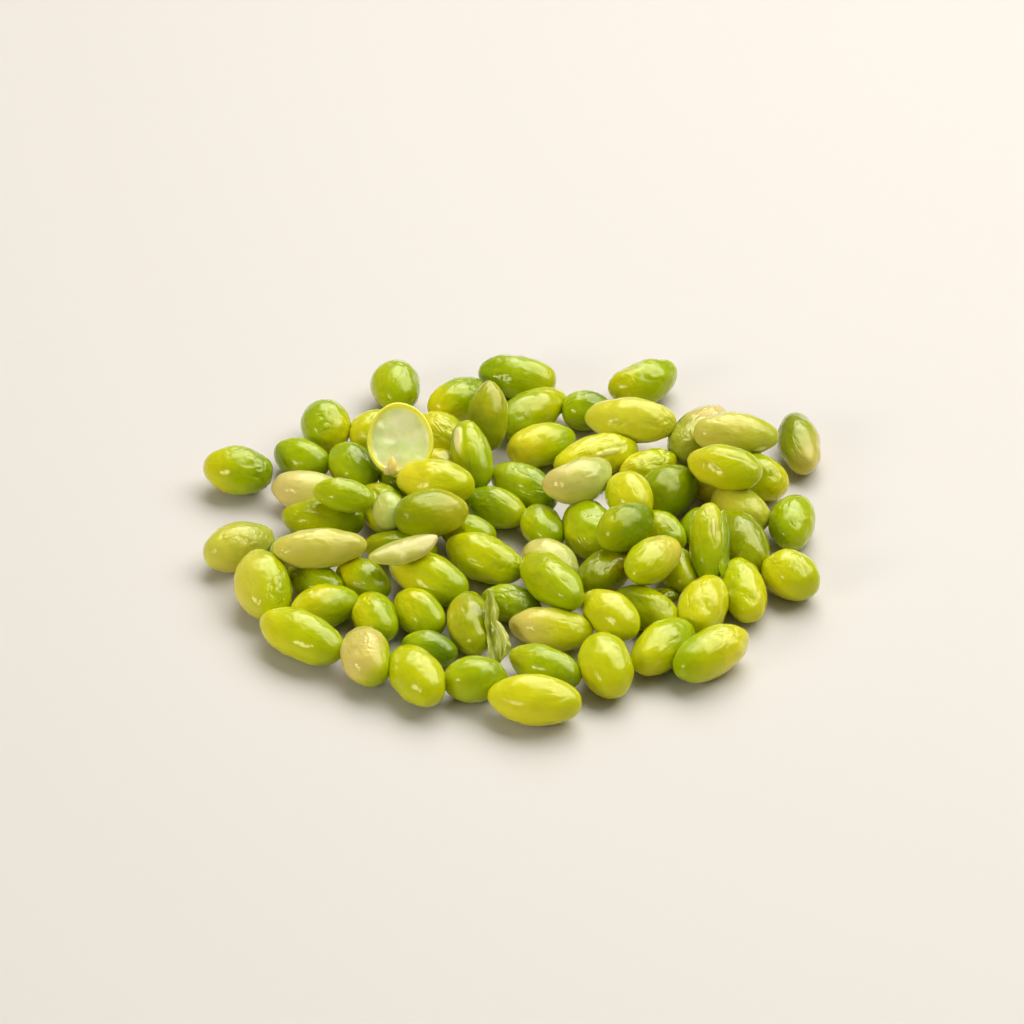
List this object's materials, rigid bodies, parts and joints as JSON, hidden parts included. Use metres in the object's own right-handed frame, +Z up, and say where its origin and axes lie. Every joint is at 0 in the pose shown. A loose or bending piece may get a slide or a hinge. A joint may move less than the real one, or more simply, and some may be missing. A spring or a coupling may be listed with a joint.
{
  "type": "shelled edamame bean heap",
  "caption": "Loose, low heap of shelled, cooked edamame beans with a half bean, a thin slice and a loose seed skin, lying on a flat surface.",
  "frame": {"origin": "middle of the heap's box, on the surface that it lies on", "axes": "+X across the heap to the viewer's right, +Y from its front to its back, +Z up"},
  "size_m": [0.1146, 0.1128, 0.0175],
  "materials": {
    "green_skin": "wet, glossy, finely wrinkled skin, bright green",
    "dark_green_skin": "wet, glossy, finely wrinkled skin, dark green",
    "yellow_green_skin": "wet, glossy skin, yellow-green",
    "yellow_skin": "wet, glossy skin, yellow with a green cast",
    "olive_skin": "wet, glossy skin, olive brown",
    "pale_seed_leaf": "smooth, peeled seed leaf, pale beige green",
    "cut_seed_leaf": "moist cut face, pale green with a yellow rim",
    "seed_skin": "thin, translucent, wet seed skin"
  },
  "bodies": {
    "root": {"bean_left_1": "green_skin", "bean_left_2": "yellow_green_skin", "bean_left_3": "yellow_green_skin", "bean_left_4": "yellow_green_skin", "bean_left_5": "green_skin", "bean_left_6": "green_skin", "bean_left_7": "pale_seed_leaf", "bean_left_8": "dark_green_skin", "bean_front_1": "green_skin", "bean_front_2": "yellow_green_skin", "bean_front_3": "green_skin", "bean_front_4": "yellow_skin", "bean_front_5": "green_skin", "bean_front_6": "yellow_skin", "bean_front_7": "yellow_green_skin", "bean_front_8": "olive_skin", "bean_front_9": "green_skin", "bean_front_10": "yellow_green_skin", "bean_front_11": "yellow_green_skin", "bean_right_1": "dark_green_skin", "bean_right_2": "yellow_green_skin", "bean_right_3": "yellow_green_skin", "bean_right_4": "yellow_skin", "bean_right_5": "green_skin", "bean_right_6": "olive_skin", "bean_right_7": "green_skin", "bean_right_8": "olive_skin", "bean_right_9": "olive_skin", "bean_right_10": "dark_green_skin", "bean_back_1": "green_skin", "bean_back_2": "yellow_skin", "bean_back_3": "green_skin", "bean_back_4": "yellow_green_skin", "bean_back_5": "green_skin", "bean_back_6": "green_skin", "bean_back_7": "green_skin", "bean_middle_1": "yellow_green_skin", "bean_middle_2": "olive_skin", "bean_middle_3": "green_skin", "bean_middle_4": "green_skin", "bean_middle_5": "yellow_green_skin", "bean_top_1": "yellow_green_skin", "bean_top_2": "yellow_green_skin", "bean_top_3": "yellow_skin", "bean_top_4": "pale_seed_leaf", "bean_top_5": "yellow_green_skin", "bean_top_6": "dark_green_skin", "bean_top_7": "yellow_green_skin", "bean_top_8": "green_skin", "bean_top_9": "yellow_green_skin", "bean_top_10": "green_skin", "bean_top_11": "olive_skin", "bean_top_12": "yellow_green_skin", "bean_top_13": "yellow_green_skin", "bean_top_14": "olive_skin", "bean_top_15": "green_skin", "bean_top_16": "yellow_green_skin", "half_bean": "cut_seed_leaf", "seed_slice": "cut_seed_leaf", "loose_skin": "seed_skin"}
  },
  "joints": []
}
